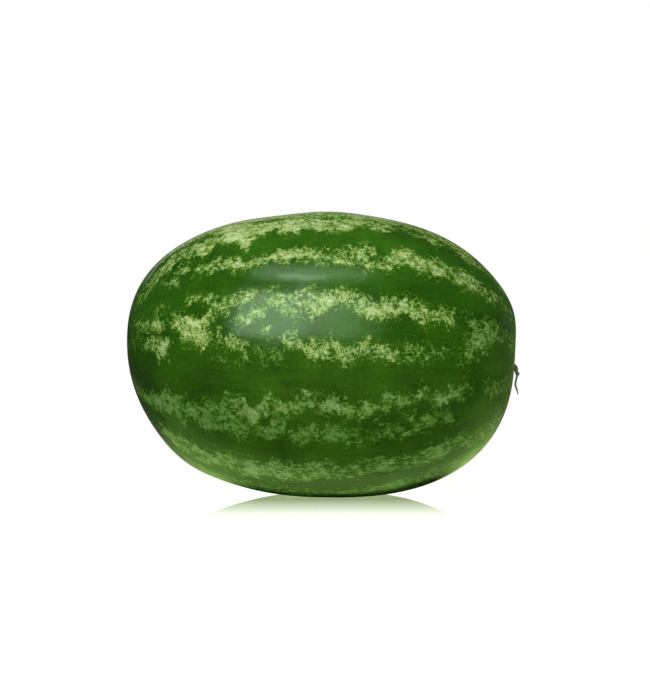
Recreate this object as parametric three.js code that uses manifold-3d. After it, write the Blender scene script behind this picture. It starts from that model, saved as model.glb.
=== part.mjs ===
// A watermelon lying on its side, with the dry end of its stalk still on.
// Millimetres, +Z up. The fruit's long axis runs along X: the stalk is at +X and the blossom scar at -X.
// The origin is on the surface that the fruit lies on, in its resting spot, below the middle of the fruit.
import * as THREE from "three";
import { mergeVertices } from "three/addons/utils/BufferGeometryUtils.js";
import Module from "manifold-3d";

// Driving dimensions of the fruit.
const HALF_LENGTH = 162.4; // from the middle to either pole, before the swells
const RADIUS = 120.1; // at the thickest ring
const AXIS_HEIGHT = 119.1; // of the long axis above the resting surface, at the middle
const AXIS_SLOPE = -3.5; // rise of the axis from the middle to the stalk end
const BOW_POWER = 4; // each end's lift, aside and turn grow with this power of the way to the pole

// Each end of the fruit: blunt is the power of its superellipse outline (2 is an ellipse), lift and aside
// are how far the pole is bowed up and towards +Y, turn is the angle in degrees by which the end faces +Y,
// and dimple is the hollow round the pole.
const STALK_END = { blunt: 2.49, lift: 2.6, aside: 5, turn: 5, dimple: { depth: 3.4, radius: 15 } };
const BLOSSOM_END = { blunt: 2.21, lift: 8.4, aside: 3, turn: 0, dimple: { depth: 1.8, radius: 9 } };

// Low swells and dips, as the fruit grew. The bearing is in the X-Z plane, from the stalk end over the top,
// and the reach is a share of the fruit's radius.
const SWELLS = [
  { height: 5.6, bearing: 16, reach: 0.25 },
  { height: 1.9, bearing: 87, reach: 0.2 },
  { height: -1.2, bearing: 102, reach: 0.2 },
  { height: 3, bearing: 228, reach: 0.22 },
];

// The stalk: points on its centre line from its foot, which stands just clear of the skin in the dimple, over
// the scar where it came off the vine, to the tip of the dried curl. Each is [out from the pole, towards +Y,
// up from the pole], with the radius there.
const STALK_LINE = [
  { at: [-0.8, 0, 0.9], radius: 3.5 },
  { at: [0, 0, 0.8], radius: 2.7 },
  { at: [1, 0, -0.3], radius: 2 },
  { at: [1.4, 0.1, -2.6], radius: 1.8 },
  { at: [1.8, 0.1, -5.2], radius: 1.6 },
  { at: [2.8, 0.1, -7.5], radius: 1.4 },
  { at: [4.3, 0, -9.2], radius: 1.5 },
  { at: [5.2, -0.2, -11], radius: 1.9 },
  { at: [5.5, -0.3, -13.5], radius: 1.5 },
  { at: [6.4, -0.4, -15.7], radius: 1.7 },
  { at: [6, -0.5, -17.7], radius: 0.9 },
  { at: [5.4, -0.6, -19.9], radius: 0.8 },
  { at: [4.8, -0.8, -24], radius: 0.8 },
  { at: [5.2, -0.9, -26.6], radius: 0.8 },
  { at: [6.2, -1, -29.5], radius: 0.7 },
  { at: [7.2, -1, -33], radius: 0.4 },
];
const STALK_RIBS = 5;
const RIB_SHARE = 0.1; // how far a rib stands out, as a share of the stalk's radius

// How finely the shapes are divided.
const FRUIT_SIDES = 88;
const FRUIT_RINGS = 52;
const STALK_SIDES = 2 * STALK_RIBS;
const STALK_RINGS = 3 * (STALK_LINE.length - 1);
const POLE_CROWDING = 0.22; // how strongly the fruit's rings crowd towards its poles
const KNIFE_DEPTH = 5; // of the block that cuts the resting spot

const wasm = await Module();
wasm.setup();

// A closed three.js geometry as a manifold-3d solid.
function solidFrom(geometry) {
  const bare = geometry.clone();
  bare.deleteAttribute("normal");
  bare.deleteAttribute("uv");
  const merged = mergeVertices(bare, 1e-3);
  return new wasm.Manifold(
    new wasm.Mesh({
      numProp: 3,
      vertProperties: merged.getAttribute("position").array,
      triVerts: new Uint32Array(merged.index.array),
    }),
  );
}

// A manifold-3d solid as a three.js geometry.
function geometryFrom(solid) {
  const mesh = solid.getMesh();
  const geometry = new THREE.BufferGeometry();
  geometry.setAttribute("position", new THREE.BufferAttribute(mesh.vertProperties, 3));
  geometry.setIndex(new THREE.BufferAttribute(mesh.triVerts, 1));
  geometry.computeVertexNormals();
  return geometry;
}

// Moves every vertex of a geometry by a function that changes the vector it is given.
function reshape(geometry, move) {
  const position = geometry.getAttribute("position");
  const point = new THREE.Vector3();
  for (let i = 0; i < position.count; i++) {
    move(point.fromBufferAttribute(position, i));
    position.setXYZ(i, point.x, point.y, point.z);
  }
  return geometry;
}

// The radius of the ring at along, which runs from -1 at the blossom end to 1 at the stalk.
function ringRadius(along) {
  const { blunt } = along < 0 ? BLOSSOM_END : STALK_END;
  return RADIUS * (1 - Math.abs(along) ** blunt) ** (1 / blunt);
}

// How far the skin stands out from the plain outline in a direction, a unit vector from the middle.
function swellAt(direction) {
  let height = 0;
  for (const swell of SWELLS) {
    const bearing = THREE.MathUtils.degToRad(swell.bearing);
    const peak = new THREE.Vector3(Math.cos(bearing), 0, Math.sin(bearing));
    height += swell.height * Math.exp(-direction.distanceToSquared(peak) / swell.reach ** 2);
  }
  return height;
}

// Carries a point of the plain turned outline, whose axis is X, to its place on the fruit.
function settleSkin(point) {
  const along = THREE.MathUtils.clamp(point.x / HALF_LENGTH, -1, 1);
  const end = along < 0 ? BLOSSOM_END : STALK_END;
  const fromAxis = Math.hypot(point.y, point.z);
  const size = new THREE.Vector3(HALF_LENGTH, RADIUS, RADIUS);
  const direction = point.clone().divide(size).normalize();
  const outward = direction.clone().divide(size).normalize();
  const dimple = end.dimple.depth * Math.exp(-((fromAxis / end.dimple.radius) ** 2));
  const bow = Math.abs(along) ** BOW_POWER;
  const lean = bow * Math.tan(THREE.MathUtils.degToRad(end.turn));
  point.addScaledVector(outward, swellAt(direction));
  point.x -= Math.sign(along) * (dimple + lean * point.y);
  point.y += bow * end.aside;
  point.z += bow * end.lift + AXIS_HEIGHT + AXIS_SLOPE * along;
}

// The fruit: a turned outline carried to its bowed and swollen form, with the resting spot cut flat.
function melonGeometry() {
  const profile = [];
  for (let i = 0; i <= FRUIT_RINGS; i++) {
    // The rings lie closer together towards the poles, where the dimples are.
    const share = i / FRUIT_RINGS;
    const angle = Math.PI * share - POLE_CROWDING * Math.sin(2 * Math.PI * share);
    const along = -Math.cos(angle);
    const onAxis = i === 0 || i === FRUIT_RINGS;
    profile.push(new THREE.Vector2(onAxis ? 0 : ringRadius(along), HALF_LENGTH * along));
  }
  const turned = new THREE.LatheGeometry(profile, FRUIT_SIDES).rotateZ(-Math.PI / 2);
  const fruit = solidFrom(reshape(turned, settleSkin));
  const knife = new THREE.BoxGeometry(2 * HALF_LENGTH, 2 * RADIUS, KNIFE_DEPTH);
  knife.translate(0, 0, -KNIFE_DEPTH / 2);
  return geometryFrom(fruit.subtract(solidFrom(knife)));
}

// The stalk-end pole, before it is dimpled.
function stalkPole() {
  return new THREE.Vector3(HALF_LENGTH, STALK_END.aside, AXIS_HEIGHT + AXIS_SLOPE + STALK_END.lift);
}

// The stalk: a turned rod of its changing radius, ribbed, and bent along its centre line.
function stalkGeometry() {
  const pole = stalkPole();
  const points = STALK_LINE.map(({ at }) => new THREE.Vector3(...at).add(pole));
  const line = new THREE.CatmullRomCurve3(points);
  const last = STALK_LINE.length - 1;
  const radiusAt = (share) => {
    const before = Math.min(Math.floor(share * last), last - 1);
    const [from, to] = STALK_LINE.slice(before, before + 2);
    return THREE.MathUtils.lerp(from.radius, to.radius, share * last - before);
  };
  const profile = [new THREE.Vector2(0, 0)];
  for (let i = 0; i <= STALK_RINGS; i++) profile.push(new THREE.Vector2(radiusAt(i / STALK_RINGS), i));
  profile.push(new THREE.Vector2(0, STALK_RINGS));
  const rod = new THREE.LatheGeometry(profile, STALK_SIDES);

  const tangents = [];
  const normals = [];
  for (let i = 0; i <= STALK_RINGS; i++) {
    const tangent = line.getTangent(i / STALK_RINGS);
    const previous = normals.at(-1) ?? new THREE.Vector3(0, 1, 0);
    normals.push(previous.clone().projectOnPlane(tangent).normalize());
    tangents.push(tangent);
  }
  return reshape(rod, (point) => {
    const ring = Math.round(point.y);
    const across = new THREE.Vector3().crossVectors(tangents[ring], normals[ring]);
    const ribbed = 1 + RIB_SHARE * Math.cos(STALK_RIBS * Math.atan2(point.x, point.z));
    const { x, z } = point;
    point.copy(line.getPoint(ring / STALK_RINGS));
    point.addScaledVector(across, ribbed * x).addScaledVector(normals[ring], ribbed * z);
  });
}

const melon = new THREE.Mesh(
  melonGeometry(),
  new THREE.MeshStandardMaterial({ color: 0x35591a, roughness: 0.35, metalness: 0 }),
);
melon.name = "melon";

const stem = new THREE.Mesh(
  stalkGeometry(),
  new THREE.MeshStandardMaterial({ color: 0x5c5c34, roughness: 0.85, metalness: 0 }),
);
stem.name = "stem";

const watermelon = new THREE.Group();
watermelon.add(melon, stem);

export default watermelon;
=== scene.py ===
"""A whole watermelon on its side: the looks of the part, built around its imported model.

Lengths are millimetres, apart from those of the lights, and turn to metres where a mesh or a node is made.
The fruit's long axis runs along X, from the blossom end at -1 to the stalk end at 1, which is what "along"
means.  A bearing goes round that axis in degrees: 0 is the front (-Y), 90 the top and 180 the back.
"""

import logging
import math
from dataclasses import dataclass, field
from enum import Enum

import bpy
import numpy as np
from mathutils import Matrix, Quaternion, Vector

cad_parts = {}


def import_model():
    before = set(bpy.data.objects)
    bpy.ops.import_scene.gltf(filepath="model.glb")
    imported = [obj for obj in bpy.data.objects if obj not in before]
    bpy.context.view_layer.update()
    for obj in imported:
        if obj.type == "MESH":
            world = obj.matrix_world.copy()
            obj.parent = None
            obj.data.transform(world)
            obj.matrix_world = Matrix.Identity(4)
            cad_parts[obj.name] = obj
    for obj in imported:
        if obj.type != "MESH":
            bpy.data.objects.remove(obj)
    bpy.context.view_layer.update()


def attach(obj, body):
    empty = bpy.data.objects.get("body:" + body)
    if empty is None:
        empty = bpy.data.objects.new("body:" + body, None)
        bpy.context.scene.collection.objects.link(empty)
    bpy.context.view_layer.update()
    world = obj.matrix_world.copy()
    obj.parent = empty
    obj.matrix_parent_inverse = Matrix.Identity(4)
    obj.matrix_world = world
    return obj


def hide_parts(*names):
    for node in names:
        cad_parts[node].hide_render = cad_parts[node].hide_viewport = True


LOG = logging.getLogger("watermelon")
MM = 0.001

Colour = tuple[float, float, float, float]
Reach = tuple[float, float, float, float]  # along, lower bearing, upper bearing, share of it that is pale
Habit = tuple[float, float, float, float]  # the usual value, its spread, the least and the most
Span = tuple[float, float]
Socket = bpy.types.NodeSocket
Tree = bpy.types.NodeTree

WHITE: Colour = (1.0, 1.0, 1.0, 1.0)


class Slot(Enum):
    """The record's material slots."""

    RIND = "rind"
    STALK = "dry_stalk"


def linear(code: str) -> Colour:
    """Turns an sRGB hex colour to linear.

    Args:
        code: six hex digits, with or without a leading #.

    Returns:
        Linear red, green and blue, and an alpha of 1.
    """
    digits = code.lstrip("#")
    parts = [int(digits[i : i + 2], 16) / 255 for i in (0, 2, 4)]
    red, green, blue = (c / 12.92 if c <= 0.04045 else ((c + 0.055) / 1.055) ** 2.4 for c in parts)
    return (red, green, blue, 1.0)


def add(
    tree: Tree, kind: str, inputs: dict[int | str, object], out: int | str = 0, **settings: object
) -> Socket | None:
    """Adds a node with its settings and links.

    Args:
        tree: the node tree that gets it.
        kind: the node's type name, after "ShaderNode".
        inputs: what each input socket, by name or number, holds or is linked from.
        out: the output that is wanted, by name or number.
        settings: the node's own properties.

    Returns:
        That output, or None from a node that has none.
    """
    made = tree.nodes.new("ShaderNode" + kind)
    for name, value in settings.items():
        setattr(made, name, value)
    for name, value in inputs.items():
        if isinstance(value, Socket):
            tree.links.new(value, made.inputs[name])
        else:
            made.inputs[name].default_value = value
    return made.outputs[out] if made.outputs else None


def graded(
    value: Socket, span: Span, ends: tuple[float | Socket, float | Socket] = (0.0, 1.0), unit: float = 1.0
) -> dict[int, object]:
    """Lists the inputs of a range node, which turns a span of one value into a span of another.

    Args:
        value: what it reads.
        span: where the grading starts and ends.
        ends: the result at each of them.
        unit: what a 1 in the span measures.

    Returns:
        The inputs by number.
    """
    return {0: value, 1: span[0] * unit, 2: span[1] * unit, 3: ends[0], 4: ends[1]}


def new_material(name: str) -> bpy.types.Material:
    """Makes a material with an empty node tree.

    Args:
        name: the material's name.

    Returns:
        The material.
    """
    material = bpy.data.materials.new(name)
    material.use_nodes = True
    material.node_tree.nodes.clear()
    return material


def new_piece(name: str, points: np.ndarray, faces: list[tuple[int, ...]]) -> bpy.types.Object:
    """Makes a smooth mesh object at the origin.

    Args:
        name: the object's name.
        points: its vertices in millimetres, one row each.
        faces: the vertex numbers of each face.

    Returns:
        The object, linked to the scene.
    """
    mesh = bpy.data.meshes.new(name)
    mesh.from_pydata((points * MM).tolist(), [], faces)
    mesh.polygons.foreach_set("use_smooth", [True] * len(faces))
    mesh.update()
    piece = bpy.data.objects.new(name, mesh)
    bpy.context.scene.collection.objects.link(piece)
    return piece


def store(piece: bpy.types.Object, name: str, values: np.ndarray) -> None:
    """Keeps a value or a vector for each vertex, which a material can read.

    Args:
        piece: the mesh object.
        name: the attribute's name.
        values: one number or one row of three for each vertex.
    """
    vector = values.ndim == 2
    made = piece.data.attributes.new(name, "FLOAT_VECTOR" if vector else "FLOAT", "POINT")
    made.data.foreach_set("vector" if vector else "value", values.astype(np.float32).ravel())


def turned_faces(rings: int, sides: int) -> list[tuple[int, ...]]:
    """Lists the faces of a closed tube, whose vertices are numbered ring by ring, then its two end points.

    Args:
        rings: how many rings it has.
        sides: how many vertices each ring has.

    Returns:
        The faces, facing out when the rings go anticlockwise seen from the last one.
    """
    faces: list[tuple[int, ...]] = []
    for ring in range(rings - 1):
        low, high = ring * sides, (ring + 1) * sides
        for side in range(sides):
            after = (side + 1) % sides
            faces.append((low + side, low + after, high + after, high + side))
    first, last, top = rings * sides, rings * sides + 1, (rings - 1) * sides
    for side in range(sides):
        after = (side + 1) % sides
        faces += [(first, after, side), (last, top + side, top + after)]
    return faces


# ---------------------------------------------------------------------------------------------- the form


@dataclass(frozen=True)
class FruitEnd:
    """One end of the fruit, as the part's solid has it."""

    blunt: float  # the power of its superellipse outline
    lift: float  # how far the pole is bowed up
    aside: float  # how far the pole is bowed towards the back
    turn: float  # degrees by which the end faces the back
    dimple_depth: float
    dimple_radius: float


@dataclass(frozen=True)
class Swell:
    """A low swell or dip that the fruit grew with."""

    height: float
    bearing: float  # in the upright plane through the axis, from the stalk end over the top
    reach: float  # a share of the fruit's radius


@dataclass(frozen=True)
class FruitForm:
    """The fruit's shape, the same as its solid's."""

    half_length: float = 162.4
    radius: float = 120.1
    axis_height: float = 119.1
    axis_slope: float = -3.5
    bow_power: float = 4
    stalk_end: FruitEnd = FruitEnd(2.49, 2.6, 5, 5, 3.4, 15)
    blossom_end: FruitEnd = FruitEnd(2.21, 8.4, 3, 0, 1.8, 9)
    swells: tuple[Swell, ...] = (
        Swell(5.6, 16, 0.25),
        Swell(1.9, 87, 0.2),
        Swell(-1.2, 102, 0.2),
        Swell(3, 228, 0.22),
    )
    crowded_within: float = 22.0  # the radius inside which a pole's rings lie closer
    fine_steps: int = 20001

    def by_end(self, along: np.ndarray, name: str) -> np.ndarray:
        """Reads one size of whichever end each place is nearer to.

        Args:
            along: places along the axis.
            name: the field of FruitEnd.

        Returns:
            The size at each place.
        """
        return np.where(along < 0, getattr(self.blossom_end, name), getattr(self.stalk_end, name))

    def ring_radius(self, along: np.ndarray) -> np.ndarray:
        """Gives the radius of the ring at each place along the axis.

        Args:
            along: places along the axis.

        Returns:
            The radii in millimetres.
        """
        blunt = self.by_end(along, "blunt")
        return self.radius * np.clip(1 - np.abs(along) ** blunt, 0, 1) ** (1 / blunt)

    def round_axis(self, along: np.ndarray, bearing: np.ndarray, ring: np.ndarray | float) -> np.ndarray:
        """Puts points round a straight axis.

        Args:
            along: places along the axis.
            bearing: bearings round it, in degrees.
            ring: how far they lie from it.

        Returns:
            One row of X, Y and Z for each point.
        """
        angle = np.radians(bearing)
        return np.stack([self.half_length * along, -ring * np.cos(angle), ring * np.sin(angle)], axis=-1)

    def skin(self, along: np.ndarray, bearing: np.ndarray, pole_relief: np.ndarray) -> np.ndarray:
        """Gives points on the fruit's skin.

        Args:
            along: places along the axis.
            bearing: bearings round it, in degrees.
            pole_relief: how far each point stands out of its pole's dimple, in millimetres.

        Returns:
            One row of X, Y and Z for each point, in millimetres, none below the resting surface.
        """
        ring = self.ring_radius(along)
        point = self.round_axis(along, bearing, ring)
        size = np.array([self.half_length, self.radius, self.radius])
        direction = point / size
        direction /= np.linalg.norm(direction, axis=-1, keepdims=True)
        outward = direction / size
        outward /= np.linalg.norm(outward, axis=-1, keepdims=True)
        height = np.zeros(len(along))
        for swell in self.swells:
            turn = math.radians(swell.bearing)
            peak = np.array([math.cos(turn), 0, math.sin(turn)])
            height += swell.height * np.exp(-np.sum((direction - peak) ** 2, axis=-1) / swell.reach**2)
        hollow = np.exp(-((ring / self.by_end(along, "dimple_radius")) ** 2))
        dimple = self.by_end(along, "dimple_depth") * hollow - pole_relief
        bow = np.abs(along) ** self.bow_power
        lean = bow * np.tan(np.radians(self.by_end(along, "turn")))
        point += outward * height[:, None]
        point[:, 0] -= np.sign(along) * (dimple + lean * point[:, 1])
        point[:, 1] += bow * self.by_end(along, "aside")
        point[:, 2] += bow * self.by_end(along, "lift") + self.axis_height + self.axis_slope * along
        point[:, 2] = np.maximum(point[:, 2], 0)
        return point

    def even_rings(self, count: int, pole_crowding: float) -> np.ndarray:
        """Spaces rings evenly over the skin, and closer together near the poles.

        Args:
            count: how many rings there are.
            pole_crowding: how many times closer together they lie at the poles.

        Returns:
            Their places along the axis, the poles left out.
        """
        fine = -np.cos(np.linspace(0, math.pi, self.fine_steps))
        ring = self.ring_radius(fine)
        step = np.hypot(np.diff(fine) * self.half_length, np.diff(ring))
        middle = (ring[1:] + ring[:-1]) / 2
        weight = 1 + (pole_crowding - 1) * np.exp(-((middle / self.crowded_within) ** 2))
        travelled = np.concatenate([[0], np.cumsum(step * weight)])
        wanted = (np.arange(count) + 0.5) / count * travelled[-1]
        return np.interp(wanted, travelled, fine)


# ---------------------------------------------------------------------------------------------- the stripes


@dataclass(frozen=True)
class Stripe:
    """One pale stripe, or a patch of one, given by its edges at places along the fruit."""

    name: str
    tone: float  # 1 is the palest stripe, 0 one that hardly shows
    reaches: tuple[Reach, ...]
    runs_on: float = 0.85  # a stripe that comes this near to a pole goes on to it
    along_mm: float = 160.0  # what a step of 1 along the fruit measures, near enough
    shares: Span = (0.03, 0.985)  # the least and the most that can be told apart
    share_gain: float = 0.62

    def cover(self, along: np.ndarray, bearing: np.ndarray, girth: np.ndarray, ragged: float) -> np.ndarray:
        """Says how surely each point lies in the stripe.

        Args:
            along: places along the axis.
            bearing: bearings round it, in degrees.
            girth: the ring's radius at each point, in millimetres.
            ragged: how far the stripe's edge wanders, in millimetres.

        Returns:
            0 on the edge, more inside and less outside, in steps of ragged.
        """
        at, low, high, share = (np.array(column) for column in zip(*self.reaches))
        middle = np.interp(along, at, (low + high) / 2)
        half = np.interp(along, at, (high - low) / 2)
        away = np.abs((bearing - middle + 180) % 360 - 180)
        inside = np.radians(half - away) * girth / ragged
        odds = np.clip(np.interp(along, at, share), *self.shares)
        full = self.share_gain * np.log(odds / (1 - odds))
        first, last = (end if abs(end) < self.runs_on else 2 * end for end in (at[0], at[-1]))
        past = np.maximum(first - along, along - last) * self.along_mm / ragged
        return np.minimum(np.minimum(inside, full), full - np.maximum(past, -1) - 1)


def by_percent(name: str, tone: float, *reaches: Reach) -> Stripe:
    """Makes a stripe from reaches that give the place along the fruit and the pale share in percent.

    Args:
        name: the stripe's name.
        tone: its tone.
        reaches: its reaches, from the blossom end on.

    Returns:
        The stripe.
    """
    return Stripe(name, tone, tuple((at / 100, low, high, share / 100) for at, low, high, share in reaches))


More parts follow.
